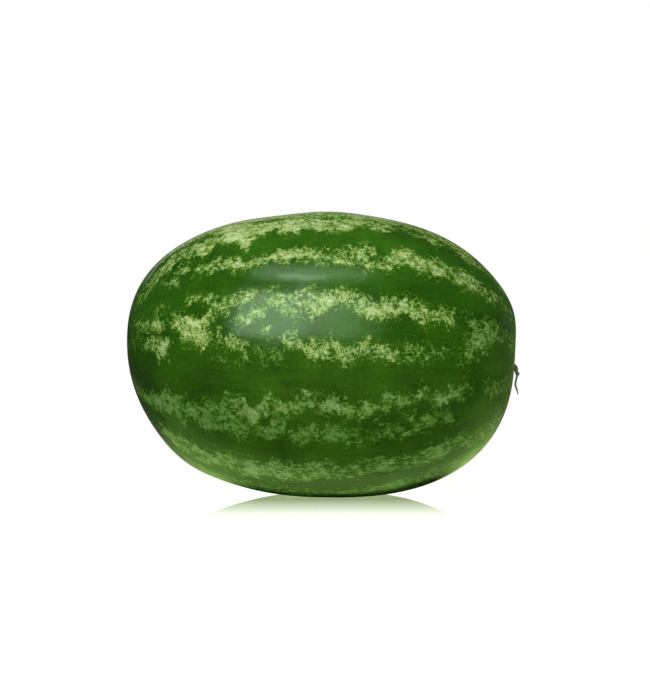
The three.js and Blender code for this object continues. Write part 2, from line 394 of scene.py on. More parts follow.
# The stripes that the front shows, each reach given one by one.
FRONT_STRIPES: tuple[Stripe, ...] = (
    by_percent("crown", 1.0,
        (-95, 42, 54, 10), (-88, 44, 53, 40), (-85, 46, 60, 62), (-80, 52, 62, 70), (-76, 53, 66, 70),
        (-72, 60, 70, 70), (-68, 60, 70, 50), (-62, 56, 68, 80), (-58, 53, 68, 93), (-54, 57, 70, 70),
        (-52, 62, 80, 80), (-48, 60, 82, 95), (-44, 58.5, 82, 97), (-40, 57, 79, 97), (-38, 52, 77, 97),
        (-35, 52, 76, 90), (-33, 57, 75, 90), (-30, 60, 74, 85), (-26, 62, 73, 90), (-22, 65, 74, 90),
        (-20, 61, 75, 90), (-15, 60, 76, 97), (-11, 60, 75, 90), (-8, 64, 75, 85), (-4, 64, 75, 85),
        (0, 61, 75, 95), (4, 62, 74, 85), (8, 62, 75, 75), (12, 62, 76, 80), (16, 65, 76, 75),
        (20, 68, 75, 85), (25, 70, 75, 65), (28, 65.5, 75, 65), (33, 65.5, 75, 75), (37, 69, 74, 70),
        (40, 71, 74, 40), (44, 72, 75, 20), (48, 66, 71, 35), (52, 70, 73, 10), (55, 67, 72, 50),
        (58, 64, 72, 75), (61, 67, 71, 30), (66, 70, 73, 10), (72, 65, 75, 60), (76, 64, 77, 70),
        (82, 68, 78, 50), (90, 68, 80, 40), (96, 66, 80, 20)),
    by_percent("top", 0.8,
        (-93, 74, 90, 40), (-80, 73, 92, 70), (-70, 73, 92, 80), (-60, 75, 92, 80), (-55, 75, 93, 93),
        (-40, 76, 93, 95), (-30, 75.5, 93, 93), (-20, 76, 93, 92), (-10, 76.5, 92, 88), (0, 75.5, 92, 88),
        (10, 76.5, 92, 85), (20, 76.5, 92, 85), (30, 75.5, 92, 90), (40, 75.5, 91, 75), (50, 75, 91, 75),
        (60, 74, 91, 85), (70, 70, 92, 90), (78, 72, 92, 70), (90, 74, 92, 40)),
    by_percent("shoulder", 0.97,
        (-62, 45, 47.5, 35), (-58, 44.5, 47.5, 45), (-55, 43.5, 47, 80), (-52, 43.5, 49.5, 70),
        (-50, 44, 50, 60), (-47, 44, 48, 65), (-42, 41, 47.5, 90), (-40, 41, 48.5, 90), (-37, 40.5, 46, 80),
        (-35, 42, 44, 50), (-32, 43, 48, 90), (-28, 43, 47, 95), (-24, 43.5, 47, 90), (-20, 43.5, 50, 85),
        (-16, 43.5, 50, 85), (-13, 44.5, 50, 80), (-10, 45, 50.5, 75), (-6, 46, 51, 85), (-3, 44, 51, 85),
        (0, 43, 49, 90), (3, 43.5, 48.5, 90), (6, 44.5, 48, 50), (9, 43, 49, 65), (12, 42.5, 51, 62),
        (15, 42.3, 53.5, 60), (18, 43, 51, 58), (21, 42.5, 53, 70), (24, 42.5, 54, 65), (27, 41.5, 54, 60),
        (29, 42, 46, 40), (31, 41.5, 46.5, 40), (34, 42, 49, 95), (36, 43, 52, 85), (39, 44.5, 54, 85),
        (43, 45, 55, 92), (46, 44.5, 54, 85), (50, 43, 52.5, 75), (54, 42.5, 52, 85), (58, 42.5, 53, 88),
        (61, 44, 52, 75), (64, 43, 49, 60), (67, 42, 51, 65), (70, 42, 52.5, 75), (74, 42, 51, 70),
        (77, 41.5, 52, 75), (80, 42, 49, 70), (83, 42, 47, 60), (87, 43, 49, 40), (93, 45, 54, 40),
        (97, 45, 55, 20)),
    by_percent("shoulder_upper_left", 0.9,
        (-70, 48, 52.5, 70), (-66, 47, 52.5, 95), (-63, 48, 50, 35)),
    by_percent("shoulder_lower_left", 0.7,
        (-78, 43, 45.5, 50), (-72, 41, 44.5, 75), (-69, 41.5, 44, 60)),
    by_percent("upper_side", 0.9,
        (-67, 30, 31, 30), (-64, 28, 30.5, 70), (-60, 28, 30.3, 70), (-55, 27.5, 30.8, 80),
        (-52, 26, 30.5, 80), (-49, 23, 30, 65), (-46, 21.5, 28.5, 80), (-44, 22, 29, 75), (-41, 25.5, 29, 70),
        (-37, 26, 29.3, 70), (-34, 27.5, 30, 80), (-31, 27.5, 29.7, 70), (-28, 28, 30, 30),
        (-24, 26, 29.5, 40), (-22, 23, 29.5, 65), (-18, 22, 28.8, 70), (-14, 21, 28, 60), (-10, 21, 28.4, 50),
        (-6, 20, 30, 65), (-3, 19, 30, 70), (0, 20.5, 30, 80), (4, 22.5, 30.2, 92), (8, 25, 31.2, 94),
        (13, 24.5, 31, 93), (16, 24.5, 29.8, 70), (20, 21, 29, 70), (22, 20, 28, 85), (26, 20, 26, 95),
        (30, 19.5, 27, 93), (33, 20, 27.7, 88), (37, 21.5, 27, 88), (40, 22, 28.5, 88), (43, 23, 28.5, 88),
        (46, 21.5, 28, 90), (49, 19.5, 26.5, 90), (51.5, 18, 28, 90), (54, 20.5, 25.3, 78),
        (57, 21.5, 24.5, 80), (60, 21.5, 26, 65), (63, 19.5, 25, 75), (65, 19.5, 26, 65), (67, 23, 26, 30)),
    by_percent("upper_side_spots_left", 0.85,
        (-39, 17, 19.5, 70), (-36.5, 16.5, 20, 80), (-34, 17.5, 20.5, 70), (-32, 19.5, 22.5, 70),
        (-28, 19.5, 24, 60), (-25, 20, 21, 50)),
    by_percent("upper_side_spots_low", 0.85,
        (-27.5, 14.5, 16.5, 60), (-24.5, 12.8, 15, 80)),
    by_percent("stalk_patch", 0.5,
        (72.5, 19, 26, 45), (75, 14, 25, 70), (78, 12, 22, 80), (81, 12, 26, 75), (84, 14, 27, 70),
        (87, 17, 25, 50), (91, 17, 22, 35), (96, 16, 22, 20)),
    by_percent("stalk_patch_low", 0.5,
        (70, 11.5, 15.5, 35), (73, 11, 15.5, 55), (77, 10, 14.5, 65), (81.5, 8, 12, 65)),
    by_percent("blossom_cluster", 0.8,
        (-97, 13, 19, 8), (-93, 15, 22, 15), (-89, 15.5, 20.5, 38), (-86, 16, 20.5, 60),
        (-83, 16.5, 20.5, 70), (-81, 15, 21, 80), (-79.5, 14, 24.5, 82), (-77, 15, 20.5, 65),
        (-74, 18.5, 22, 40)),
    by_percent("blossom_cluster_low", 0.85,
        (-96, 5, 9, 10), (-88, 6, 11, 32), (-85, 6, 10, 55), (-82, 2.5, 10.5, 75), (-79, -2, 10.5, 85),
        (-76, 0, 10.5, 85), (-73.5, 2, 9, 60)),
    by_percent("blossom_specks", 0.55,
        (-84, 25, 27, 30), (-81, 25, 27.5, 40), (-79, 26, 30, 12), (-74, 25, 27, 25)),
    by_percent("side_blot", 1.0,
        (-72.5, 17, 21.5, 60), (-70, 15.5, 22, 85), (-67, 11, 22, 88), (-64, 9.5, 21.5, 90), (-61, 9, 20, 93),
        (-58, 7.5, 20.5, 92), (-56, 7.5, 21, 85), (-54, 10, 23, 70), (-51, 11.5, 22.5, 50)),
    by_percent("side_left", 0.85,
        (-51, 10.5, 15.5, 50), (-48, 9, 14, 65), (-46, 7.5, 12.5, 80), (-43, 7, 12.5, 80), (-40, 7, 12.5, 68),
        (-37, 6, 10, 65), (-35, 5, 9, 70)),
    by_percent("side_specks", 0.5,
        (-50, 2, 4, 20), (-44, 2, 5, 22), (-38, 3, 5, 8), (-29, 4.5, 8, 35), (-27, 1.5, 6, 30),
        (-24, 5, 7, 20), (-21, 3.5, 6, 35), (-16, 3.5, 5.5, 25)),
    by_percent("side", 0.92,
        (-18, 9, 10.8, 50), (-14, 8, 13.5, 80), (-12, 7.5, 14.5, 60), (-10, 7, 11.5, 75), (-7, 6, 10, 70),
        (-5, 4.5, 10, 82), (-2, 2.8, 10.5, 84), (0, 4.5, 10.5, 88), (3, 4.3, 10.3, 88), (6, 5, 11.3, 86),
        (9, 4, 10.8, 72), (12, 2.7, 7.8, 80), (15, 3.2, 7, 75), (18, 4.5, 8.8, 76), (21, 5.5, 12.3, 68),
        (24, 6, 11.5, 60), (27, 5.5, 8.5, 75), (30, 5, 9, 77), (33, 5, 8.6, 75), (36, 4, 6.8, 50),
        (40, 5.4, 8, 45)),
    by_percent("side_right", 0.55,
        (40, 5, 8.3, 50), (43, 5, 11, 55), (46, 5.5, 9.5, 50), (50, 5, 8.7, 45), (54, 5.8, 8.2, 35),
        (58, 4.8, 7.6, 45), (61, 6, 8, 6), (64.5, 7, 9, 10), (68, 2, 7.5, 28), (71, 4, 8, 40),
        (73.5, 4.5, 9, 55), (76, 4.5, 7, 40)),
    by_percent("lower_side", 0.44,
        (-47, -13, -11, 30), (-45, -17, -11, 50), (-42, -19, -12, 60), (-40, -20, -13, 62),
        (-37, -19, -14, 60), (-34, -23, -16, 82), (-31, -23, -16.5, 85), (-28, -19, -14.5, 70),
        (-26, -18, -12, 82), (-23.5, -17.5, -10, 75), (-21, -17.5, -12, 55), (-18, -17.5, -15, 75),
        (-15, -17, -14, 70), (-12, -17, -11, 82), (-9, -17, -10.5, 87), (-6, -14.5, -7, 72),
        (-3, -13.5, -10.5, 50), (-0.5, -14, -11, 15), (2, -17, -11.5, 60), (5, -17.5, -10, 85),
        (9, -18, -11.3, 95), (13, -17.8, -11.6, 96), (16, -18, -14, 82), (20, -18.5, -13.5, 82),
        (24, -18.5, -12, 82), (28, -17, -14, 75), (31, -15, -10, 75), (35, -13.8, -9.3, 82),
        (39, -14, -9.8, 80), (42, -13.3, -10.7, 65), (45.5, -13, -11, 45), (48, -11, -8, 55),
        (50, -11, -7.3, 50), (54, -13.5, -11, 50), (58, -15.3, -11.3, 90), (61, -15.3, -10.6, 85),
        (65, -13.2, -9.6, 70), (69, -13.3, -8.3, 82), (72.5, -10.5, -8.3, 45)),
    by_percent("lower_side_stalk", 0.3,
        (79, -14, -10, 30), (84, -17, -11, 55), (88, -19, -12, 50), (93, -20, -14, 25)),
    by_percent("low", 0.24,
        (-97, -50, -40, 30), (-90, -43, -35, 72), (-86, -38, -31, 82), (-82, -36, -27, 82),
        (-79, -33, -23, 87), (-76, -32, -17.5, 75), (-73, -31, -21.5, 87), (-70, -30, -19.5, 87),
        (-67, -35, -17.5, 55), (-64, -27, -21, 82), (-61, -27, -20.5, 82), (-58, -30, -19.5, 72),
        (-55, -31, -18.5, 82), (-52, -30, -17, 65), (-48, -29, -17, 65), (-45, -28, -16, 70),
        (-42, -31, -20, 62), (-39, -32, -23, 50), (-36, -31, -26, 42), (-33, -29.5, -26.5, 50),
        (-29, -29, -25, 62), (-25, -29, -25, 72), (-23, -27, -20, 72), (-20, -26, -20, 82),
        (-17, -23.5, -19.5, 50), (-15, -29, -26, 20), (-13, -30, -25.5, 52), (-10, -29, -24, 62),
        (-6, -30, -23, 72), (-2, -27.5, -23.3, 60), (0, -27, -24, 25), (2, -28.5, -24, 52),
        (5, -28.5, -22, 82), (9, -28.5, -23.5, 90), (12, -28.5, -24, 82), (15, -27, -24, 55),
        (18, -25.5, -23.3, 45), (21, -26, -24, 10), (25, -28, -26, 30), (28, -28.5, -26, 50),
        (31, -27.5, -25.8, 45), (34, -26, -23, 50), (37, -26.5, -25, 30), (41, -27, -25.3, 30),
        (44, -27.5, -25, 40), (47, -26, -22.5, 35), (50, -25, -20, 48), (55, -24.5, -19.8, 50),
        (60, -22, -19, 55), (63, -23.5, -20, 35), (67, -24, -21, 15)),
    by_percent("low_thread", 0.45,
        (12, -30.3, -29, 40), (17, -30.7, -29.2, 50), (22, -30.4, -29.2, 45)),
    by_percent("low_thread_right", 0.4,
        (41, -21.7, -20, 40), (44, -21, -19.3, 50), (47, -20.4, -19.4, 30)),
    by_percent("under", 0.38,
        (-82, -57, -50, 45), (-76, -57, -50, 75), (-72, -60, -48, 72), (-69, -60, -45, 65),
        (-66, -57, -44, 82), (-62, -58, -46, 72), (-58, -59, -46, 72), (-54, -56, -45.5, 75),
        (-50, -53.5, -43, 75), (-46, -52.5, -43, 72), (-42, -53, -43, 75), (-38, -57, -45, 62),
        (-35, -54, -43, 90), (-32, -54, -45, 97), (-29, -53, -45.5, 92), (-26, -52, -43, 85),
        (-23, -51.5, -41.3, 85), (-20, -53, -41.3, 85), (-17, -54, -43.5, 82), (-14, -54, -43.5, 65),
        (-10, -53, -42, 52), (-6, -53, -41, 62), (-2, -49.5, -40.5, 62), (3, -50, -40.5, 65),
        (8, -49.5, -41, 52), (12, -52, -44, 50), (16, -49, -42, 42), (20, -48.5, -41, 52),
        (25, -46.5, -39.5, 62), (30, -46.5, -40, 72), (35, -46.5, -40, 78), (40, -46.5, -40, 62),
        (44, -46, -40.5, 42), (48, -45, -39, 42), (52, -45.5, -38.3, 62), (56, -46.5, -38, 88),
        (60, -46, -36.8, 85), (64, -42.5, -36.8, 50), (68, -40.5, -37.5, 30), (72, -44.5, -38, 42),
        (76, -46.5, -39, 52), (80, -46.5, -38, 42), (86, -47, -36, 42), (94, -48, -36, 25)),
    by_percent("belly", 0.14,
        (-75, -74, -66, 40), (-55, -74, -66, 50), (-42, -71, -63, 45), (-30, -71, -62, 50),
        (-20, -68, -61, 40), (-10, -70, -65, 20), (5, -67, -63.5, 30), (14, -66.5, -63, 35),
        (22, -64.5, -60, 35), (30, -63.5, -59.5, 62), (35, -64.5, -58, 82), (40, -64.5, -56.5, 82),
        (44, -61.5, -56, 72), (48, -61.5, -57.5, 30), (56, -60.5, -56, 52), (61, -61, -56, 45),
        (68, -63, -54.5, 72), (74, -67, -54, 75), (85, -68, -56, 60), (95, -68, -56, 25)),
)


@dataclass(frozen=True)
class StripePattern:
    """All the pale stripes: the front's as they are, and the back's by the same habit of growth."""

    ragged: float = 3.2  # how far an edge wanders, in millimetres
    seed: int = 11
    hidden_bearings: tuple[float, ...] = (107, 124, 140, 157, 175, 194, 213, 232, 251, 270)
    patchiness: float = 0.045  # spacing of a hidden stripe's reaches along the fruit
    ends_at: float = 0.95
    sway: float = 0.55  # how far a reach strays from the one before, in degrees
    half_width: Habit = (3.6, 1.5, 1.2, 6.5)
    share: Habit = (0.72, 0.2, 0.12, 0.95)
    tone: Habit = (0.82, 0.1, 0.6, 1.0)
    first_wider: float = 1.25
    last_fainter: float = 0.3  # the fruit lies on it
    gaps: float = 0.1  # how many of the reaches are gaps
    gap_share: float = 0.15
    thins_over: float = 0.12  # towards a pole, along the fruit
    thinnest: float = 0.5
    bare: Span = (-6.0, 0.7)  # cover and tone where there is no stripe
    trace: float = 1e-6  # how little the bare skin's tone weighs
    most_cover: float = 3.0
    tone_gain: float = 1.6  # how far the surest stripe's tone outweighs the others'

    def hidden_stripes(self) -> list[Stripe]:
        """Grows the stripes that the front doesn't show.

        Returns:
            The stripes, from the top over the back to the underside.
        """
        draw = np.random.default_rng(self.seed)
        at = np.arange(-self.ends_at, self.ends_at, self.patchiness)
        thinning = np.clip((1 - np.abs(at)) / self.thins_over, self.thinnest, 1)
        grown = []
        for number, bearing in enumerate(self.hidden_bearings):
            sway = np.cumsum(draw.normal(0, self.sway, len(at)))
            sway -= np.linspace(sway[0], sway[-1], len(at))
            middle = bearing + sway
            half, share = (
                np.clip(draw.normal(usual, spread, len(at)), least, most)
                for usual, spread, least, most in (self.half_width, self.share)
            )
            share[draw.random(len(at)) < self.gaps] = self.gap_share
            usual, spread, least, most = self.tone
            tone = float(np.clip(draw.normal(usual, spread), least, most))
            if number == 0:
                half *= self.first_wider
            if bearing == self.hidden_bearings[-1]:
                tone *= self.last_fainter
            reaches = np.stack([at, middle - half, middle + half, share * thinning], axis=-1)
            grown.append(Stripe(f"hidden_{number}", tone, tuple(map(tuple, reaches.tolist()))))
        return grown

    def paint(self, along: np.ndarray, bearing: np.ndarray, girth: np.ndarray) -> tuple[np.ndarray, ...]:
        """Works out where the skin is pale, and how pale.

        Args:
            along: places along the axis.
            bearing: bearings round it, in degrees.
            girth: the ring's radius at each point, in millimetres.

        Returns:
            The cover of the surest stripe at each point, and the tone of the stripes there.
        """
        least, bare_tone = self.bare
        surest = np.full(len(along), least)
        weight = np.full(len(along), self.trace)
        tone = weight * bare_tone
        for stripe in (*FRONT_STRIPES, *self.hidden_stripes()):
            cover = stripe.cover(along, bearing, girth, self.ragged)
            surest = np.maximum(surest, cover)
            share = np.exp(np.clip(cover, least, self.most_cover) * self.tone_gain)
            weight += share
            tone += share * stripe.tone
        return surest, tone / weight


# ---------------------------------------------------------------------------------------------- the finishes


class Blend(Enum):
    """How a coat of colour goes over what lies under it."""

    COVER = "MIX"
    TINT = "MULTIPLY"


Coat = tuple[float | Socket, Colour | Socket, Blend]  # its share, its colour and how it goes on


def painted(tree: Tree, under: Colour, coats: list[Coat]) -> Socket:
    """Lays coats of colour over a first one.

    Args:
        tree: the node tree.
        under: the colour below them all.
        coats: the coats, the lowest first.

    Returns:
        The colour that shows.
    """
    shown: Colour | Socket = under
    for share, colour, blend in coats:
        layers = {0: share, 6: shown, 7: colour}
        shown = add(tree, "Mix", layers, 2, data_type="RGBA", blend_type=blend.value)
    return shown


@dataclass(frozen=True)
class Mottle:
    """A pattern of soft grains, which a noise node draws."""

    size_mm: float
    detail: float = 2.0  # how often the grains are broken up finer
    roughness: float = 0.5  # and how strongly
    curl: float = 0.0
    span: Span = (0.3, 0.7)  # the noise's values that count as its darkest and its lightest

    def inputs(self, place: Socket) -> dict[str, object]:
        """Lists the noise node's inputs.

        Args:
            place: the point, in millimetres.

        Returns:
            The inputs by name.
        """
        grains = {"Vector": place, "Scale": 1 / self.size_mm, "Detail": self.detail}
        return {**grains, "Roughness": self.roughness, "Distortion": self.curl}


@dataclass(frozen=True)
class WaxyRind:
    """The rind of a ripe watermelon, washed: a hard skin under thin wax, with clear but soft-edged gloss."""

    band: str = "#28520C"  # the dark bands between the stripes
    band_deep: str = "#1D400A"
    band_bright: str = "#346511"
    band_evenness: float = 0.45
    tints_and_painted_shade: tuple[tuple[str, Span, Colour], ...] = (
        # axis, where it starts and where it is full, colour
        ("Z", (70.0, -40.0), (1.15, 0.9, 0.6, 1.0)),  # the bands are yellower towards the ground
        ("X", (-85.0, -135.0), (0.8, 0.92, 1.0, 1.0)),  # and darker and colder at the blossom end: painted shade
    )
    painted_light_tint: Colour = (1.42, 1.33, 1.45, 1.0)  # painted light: two dark bands are brighter in the middle, on the front and high up, as if lit there
    painted_light_patches_mm: tuple[tuple[Span, Span], ...] = (
        # its middle along and up, its half length and half height
        ((2.0, -8.0), (85.0, 30.0)),
        ((12.0, 101.0), (110.0, 15.0)),
    )
    painted_light_edge: Span = (1.0, 0.1)  # from the rim of the painted light to its brightest part, as shares of its half sizes
    dull: str = "#407125"  # what a faint stripe reaches
    tones: tuple[tuple[Span, str], ...] = (
        # the cover where it starts and where it is full, colour; the first is never dulled
        ((-1.2, -0.3), "#3C6814"),
        ((-0.5, 0.5), "#71943F"),
        ((0.36, 1.4), "#A0B672"),
        ((1.5, 3.2), "#BFD09F"),
    )
    yellowish: Colour = (1.03, 1.0, 0.9, 1.0)  # the skin's colour drifts from patch to patch
    bluish: Colour = (0.97, 1.0, 1.03, 1.0)
    cork: str = "#8B7650"
    ground: str = "#C9B978"
    warp: Mottle = Mottle(15.0, span=(0.4, 0.6))  # stripes wander over lengths like this
    wander_mm: float = 9.0  # by up to half of this
    lace: Mottle = Mottle(7.0, 3.0, 0.62)  # the patches and bays of a stripe's edge
    lace_push: Span = (7.2, -3.78)  # how they move the edge: a gain, and what centres it
    fleck: Mottle = Mottle(2.6, 4.0, 0.77, 0.6, (0.35, 0.65))  # the curly flecks that a stripe is made of
    fleck_push: Span = (14.0, -7.02)
    fleck_light: Span = (0.8, 1.2)  # they show faintly in the bands too
    low_squeeze: float = 0.35  # low down towards the stalk they are drawn out lengthwise
    low_z: Span = (-20.0, -50.0)
    low_x: Span = (0.0, 50.0)
    cloud: Mottle = Mottle(42.0, 3.0, span=(0.35, 0.65))  # the bands' deep and bright patches
    streak: Mottle = Mottle(2.4, 3.0)  # lines of growth, which run lengthwise
    streak_squeeze: float = 0.06
    streak_light: Span = (0.88, 1.12)
    wave: Mottle = Mottle(24.0)  # the skin's slow unevenness
    wave_height: float = 0.5
    pore: Mottle = Mottle(1.1)  # as coarse as it needs to be to show
    pore_height: float = 0.02
    pore_wear: Span = (-0.03, 0.05)  # what it adds to the roughness
    roughness: float = 0.17
    cork_roughness: float = 0.5  # added to it
    ior: float = 1.45
    gloss_tint: Colour = (0.73, 1.0, 0.66, 1.0)  # the wax is clear, but green cells lie right under it

    def edge(self, tree: Tree, place: Socket, grain: Socket) -> tuple[Socket, Socket]:
        """Draws the ragged edge of the stripes: wide bays, broken up into curly flecks.

        Args:
            tree: the node tree.
            place: the point on the skin, which has drifted by the warp.
            grain: the point on the unshaped fruit.

        Returns:
            How far the edge is pushed out, and the flecks alone.
        """
        lace = add(tree, "TexNoise", self.lace.inputs(place))
        flecks = []
        for squeeze in (1.0, self.low_squeeze):
            squeezed = add(tree, "VectorMath", {0: place, 1: (squeeze, 1.0, 1.0)}, operation="MULTIPLY")
            flecks.append(add(tree, "TexNoise", self.fleck.inputs(squeezed)))
        axes = add(tree, "SeparateXYZ", {0: grain}).node.outputs
        low = add(tree, "MapRange", graded(axes["Z"], self.low_z))
        low = add(tree, "MapRange", graded(axes["X"], self.low_x, (0.0, low)))
        flecked = add(tree, "Mix", {0: low, 2: flecks[0], 3: flecks[1]}, data_type="FLOAT")
        pushes = [
            add(tree, "Math", {0: noise, 1: gain, 2: level}, operation="MULTIPLY_ADD")
            for noise, (gain, level) in ((lace, self.lace_push), (flecked, self.fleck_push))
        ]
        return add(tree, "Math", {0: pushes[0], 1: pushes[1]}), flecked

    def bands(self, tree: Tree, grain: Socket, flecked: Socket) -> list[Coat]:
        """Chooses the coats that make the dark bands, over their deep green, with painted shade at the
        blossom end and painted light in two patches.

        Args:
            tree: the node tree.
            grain: the point on the unshaped fruit.
            flecked: the fine flecks.

        Returns:
            The coats, the lowest first.
        """
        clouds = add(tree, "TexNoise", self.cloud.inputs(grain))
        bright = add(tree, "MapRange", graded(clouds, self.cloud.span))
        coats = [
            (bright, linear(self.band_bright), Blend.COVER),
            (self.band_evenness, linear(self.band), Blend.COVER),
        ]
        axes = add(tree, "SeparateXYZ", {0: grain}).node.outputs
        # The blossom end's tint is painted shade, which darkens that end.
        for axis, span, cast in self.tints_and_painted_shade:
            share = add(tree, "MapRange", graded(axes[axis], span), interpolation_type="SMOOTHSTEP")
            coats.append((share, cast, Blend.TINT))
        # Painted light: two patches of the bands are brightened, as if lit there.
        for (x, z), (wide, tall) in self.painted_light_patches_mm:
            off = add(tree, "VectorMath", {0: grain, 1: (x, 0.0, z)}, operation="SUBTRACT")
            off = add(tree, "VectorMath", {0: off, 1: (1 / wide, 0.0, 1 / tall)}, operation="MULTIPLY")
            off = add(tree, "VectorMath", {0: off}, "Value", operation="LENGTH")
            share = add(tree, "MapRange", graded(off, self.painted_light_edge), interpolation_type="SMOOTHSTEP")
            coats.append((share, self.painted_light_tint, Blend.TINT))
        light = add(tree, "MapRange", graded(flecked, self.fleck.span, self.fleck_light))
        return [*coats, (1.0, light, Blend.TINT)]

    def stripes(self, tree: Tree, cover: Socket, tone: Socket) -> list[Coat]:
        """Chooses the coats that make the stripes: greener where they fade, creamy in their middles.

        Args:
            tree: the node tree.
            cover: how surely a point lies in a stripe, with its ragged edge.
            tone: how pale the stripe is there.

        Returns:
            The coats, the lowest first.
        """
        coats: list[Coat] = []
        for span, code in self.tones:
            share = add(tree, "MapRange", graded(cover, span), interpolation_type="SMOOTHSTEP")
            colour = linear(code)
            if coats:
                colour = add(tree, "Mix", {0: tone, 6: linear(self.dull), 7: colour}, 2, data_type="RGBA")
            coats.append((share, colour, Blend.COVER))
        return coats

    def make(self) -> bpy.types.Material:
        """Builds the material.

        Returns:
            The rind's material, which reads the fruit's own attributes.
        """
        material = new_material("waxy_watermelon_rind")
        tree = material.node_tree
        cover, tone, pole, ground = (
            add(tree, "Attribute", {}, "Fac", attribute_name=name)
            for name in ("stripe_cover", "stripe_tone", "pole_cork", "ground_spot")
        )
        place, grain = (
            add(tree, "Attribute", {}, "Vector", attribute_name=name) for name in ("place", "grain")
        )

        warp = add(tree, "TexNoise", self.warp.inputs(place)).node.outputs
        bend = add(tree, "VectorMath", {0: warp["Color"], 1: (0.5, 0.5, 0.5)}, operation="SUBTRACT")
        wander = {0: bend, 1: (self.wander_mm,) * 3, 2: place}
        push, flecked = self.edge(tree, add(tree, "VectorMath", wander, operation="MULTIPLY_ADD"), grain)
        cover = add(tree, "Math", {0: cover, 1: push})

        squeeze = (self.streak_squeeze, 1.0, 1.0)
        drawn_out = add(tree, "VectorMath", {0: grain, 1: squeeze}, operation="MULTIPLY")
        streaks = add(tree, "TexNoise", self.streak.inputs(drawn_out))
        streak_light = add(tree, "MapRange", graded(streaks, self.streak.span, self.streak_light))
        drift = add(tree, "MapRange", graded(warp["Fac"], self.warp.span))
        hue = add(tree, "Mix", {0: drift, 6: self.yellowish, 7: self.bluish}, 2, data_type="RGBA")
        coats = [
            *self.bands(tree, grain, flecked),
            *self.stripes(tree, cover, tone),
            (1.0, streak_light, Blend.TINT),
            (1.0, hue, Blend.TINT),
            (ground, linear(self.ground), Blend.COVER),
            (pole, linear(self.cork), Blend.COVER),
        ]
        skin = painted(tree, linear(self.band_deep), coats)

        pores, waves = (add(tree, "TexNoise", size.inputs(grain)) for size in (self.pore, self.wave))
        relief = add(tree, "Math", {0: waves, 1: self.wave_height, 2: 0.0}, operation="MULTIPLY_ADD")
        relief = add(tree, "Math", {0: pores, 1: self.pore_height, 2: relief}, operation="MULTIPLY_ADD")
        bump = add(tree, "Bump", {"Strength": 1.0, "Distance": MM, "Height": relief})
        worn = add(tree, "MapRange", graded(pores, self.pore.span, self.pore_wear))
        rough = add(tree, "Math", {0: worn, 1: self.roughness})
        rough = add(tree, "Math", {0: pole, 1: self.cork_roughness, 2: rough}, operation="MULTIPLY_ADD")
        wax = {"Base Color": skin, "Roughness": rough, "IOR": self.ior, "Specular Tint": self.gloss_tint}
        shader = add(tree, "BsdfPrincipled", {**wax, "Normal": bump})
        add(tree, "OutputMaterial", {"Surface": shader})
        return material


@dataclass(frozen=True)
class DriedStalk:
    """A cut vine stalk, dried on the fruit: shrivelled fibres, dull and without any gloss to speak of."""

    green: str = "#7C8A4E"
    dark: str = "#4C5434"
    straw: str = "#A9B57E"
    fibre: Mottle = Mottle(0.35, 3.0)
    fibre_squeeze: float = 0.12  # lengthwise
    fibre_light: Span = (0.65, 1.25)
    fibre_depth: float = 0.3
    fibre_bump: float = 0.7  # how much of the depth shows
    blotch: Mottle = Mottle(3.5, 3.0, span=(0.35, 0.7))
    roughness: Span = (0.62, 0.82)  # from blotch to blotch
    ior: float = 1.5

    def make(self) -> bpy.types.Material:
        """Builds the material.

        Returns:
            The stalk's material.
        """
        material = new_material("dried_vine_stalk")
        tree = material.node_tree
        grain = add(tree, "Attribute", {}, "Vector", attribute_name="grain")
        knob = add(tree, "Attribute", {}, "Fac", attribute_name="knob")
        squeeze = (self.fibre_squeeze, 1.0, 1.0)
        drawn_out = add(tree, "VectorMath", {0: grain, 1: squeeze}, operation="MULTIPLY")
        fibres = add(tree, "TexNoise", self.fibre.inputs(drawn_out))
        blotches = add(tree, "TexNoise", self.blotch.inputs(grain))
        light = add(tree, "MapRange", graded(blotches, self.blotch.span))
        shade = add(tree, "MapRange", graded(fibres, self.fibre.span, self.fibre_light))
        coats = [
            (light, linear(self.straw), Blend.COVER),
            (knob, linear(self.dark), Blend.COVER),
            (1.0, shade, Blend.TINT),
        ]
        skin = painted(tree, linear(self.green), coats)
        relief = {"Strength": self.fibre_bump, "Distance": self.fibre_depth * MM, "Height": fibres}
        bump = add(tree, "Bump", relief)
        rough = add(tree, "MapRange", graded(blotches, (0.0, 1.0), self.roughness))
        dry = {"Base Color": skin, "Roughness": rough, "IOR": self.ior, "Normal": bump}
        add(tree, "OutputMaterial", {"Surface": add(tree, "BsdfPrincipled", dry)})
        return material


